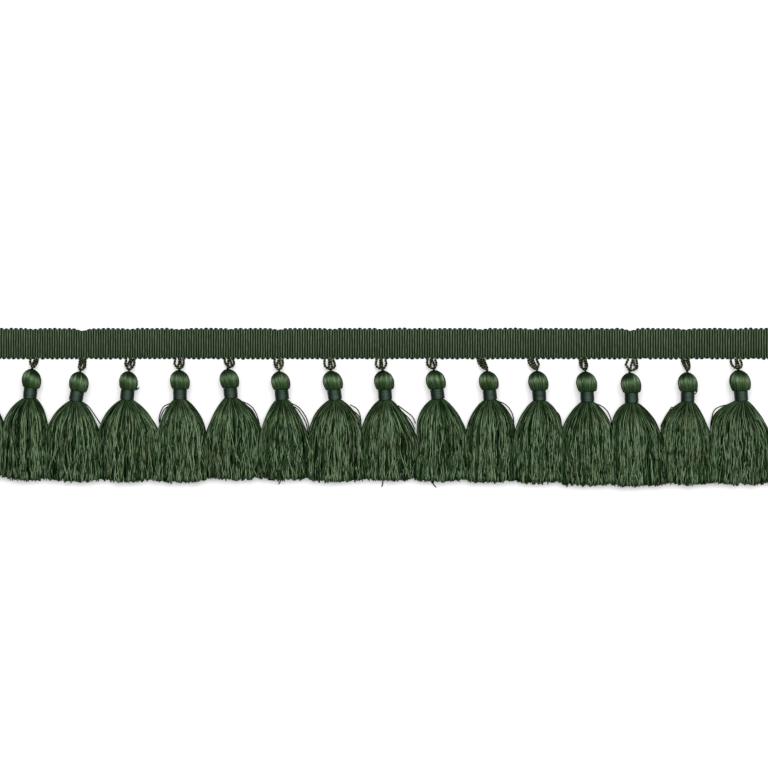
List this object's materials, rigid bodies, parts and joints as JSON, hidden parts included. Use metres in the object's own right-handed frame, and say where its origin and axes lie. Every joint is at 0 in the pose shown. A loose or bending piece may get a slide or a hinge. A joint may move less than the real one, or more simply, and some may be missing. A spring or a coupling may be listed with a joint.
{
  "type": "tassel fringe trim",
  "caption": "Length of tassel fringe trim: a ribbed woven header tape carrying a row of yarn tassels on short twisted loops, sewn on to edge furnishings or clothing.",
  "frame": {"origin": "middle of the header tape's flat back, half way along it", "axes": "+X along the tape, +Y across it away from the tassels, +Z out of its ribbed face"},
  "size_m": [0.41, 0.0795, 0.0103],
  "materials": {
    "tape": "ribbed dark green weave, low sheen",
    "yarn": "silky dark green yarn",
    "binding": "tight wound blue-green thread, silky",
    "cord": "fine twisted olive green cord"
  },
  "bodies": {
    "root": {"tape": "tape", "tassel_01": "yarn", "binding_01": "binding", "loop_01": "cord", "tassel_02": "yarn", "binding_02": "binding", "loop_02": "cord", "tassel_03": "yarn", "binding_03": "binding", "loop_03": "cord", "tassel_04": "yarn", "binding_04": "binding", "loop_04": "cord", "tassel_05": "yarn", "binding_05": "binding", "loop_05": "cord", "tassel_06": "yarn", "binding_06": "binding", "loop_06": "cord", "tassel_07": "yarn", "binding_07": "binding", "loop_07": "cord", "tassel_08": "yarn", "binding_08": "binding", "loop_08": "cord", "tassel_09": "yarn", "binding_09": "binding", "loop_09": "cord", "tassel_10": "yarn", "binding_10": "binding", "loop_10": "cord", "tassel_11": "yarn", "binding_11": "binding", "loop_11": "cord", "tassel_12": "yarn", "binding_12": "binding", "loop_12": "cord", "tassel_13": "yarn", "binding_13": "binding", "loop_13": "cord", "tassel_14": "yarn", "binding_14": "binding", "loop_14": "cord", "tassel_15": "yarn", "binding_15": "binding", "loop_15": "cord", "tassel_16": "yarn", "binding_16": "binding", "loop_16": "cord"}
  },
  "joints": []
}
